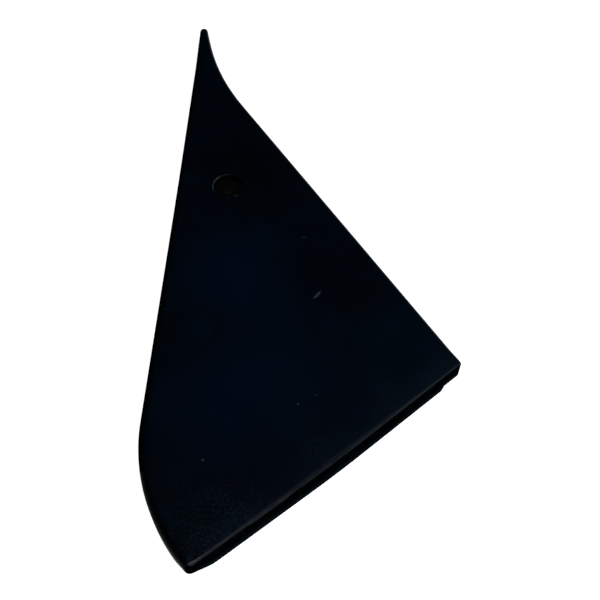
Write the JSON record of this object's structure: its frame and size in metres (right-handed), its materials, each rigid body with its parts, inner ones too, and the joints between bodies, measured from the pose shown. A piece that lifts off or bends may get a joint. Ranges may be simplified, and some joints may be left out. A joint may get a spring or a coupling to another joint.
{
  "type": "excavator bucket side tooth",
  "caption": "Flat fin-shaped side tooth with a claw tip, sliding onto a weld-on dovetail wedge base and locked by nested slotted spring pins.",
  "frame": {"origin": "on the weld face under the base plate, at the middle of the wedge base", "axes": "+Y towards the blade's tip, nearly along its long edge; +X towards the blade's rear right corner; +Z out of the blade's face, away from the bucket wall"},
  "size_m": [0.1793, 0.4231, 0.0138],
  "materials": {
    "blade_paint": "worn semi-gloss blue-black paint, dusty and chipped",
    "base_steel": "flame-cut plate with mill scale and light rust",
    "rail_steel": "milled bar, dulled",
    "weld_metal": "rippled fillet weld with heat tint",
    "outer_pin_steel": "black phosphated spring steel",
    "inner_pin_steel": "oiled dark spring steel"
  },
  "bodies": {
    "tooth": {"tooth_blade": "blade_paint", "base_plate": "base_steel", "left_rail": "rail_steel", "right_rail": "rail_steel", "left_rail_weld": "weld_metal", "right_rail_weld": "weld_metal"},
    "outer_pin": {"outer_spring_pin": "outer_pin_steel"},
    "inner_pin": {"inner_spring_pin": "inner_pin_steel"}
  },
  "joints": [
    {"name": "outer_pin_slide", "type": "slide", "parent": "tooth", "child": "outer_pin", "axis": [0, 0, 1], "range_m": [0, 0.04]},
    {"name": "inner_pin_slide", "type": "slide", "parent": "outer_pin", "child": "inner_pin", "axis": [0, 0, 1], "range_m": [0, 0.04]}
  ]
}
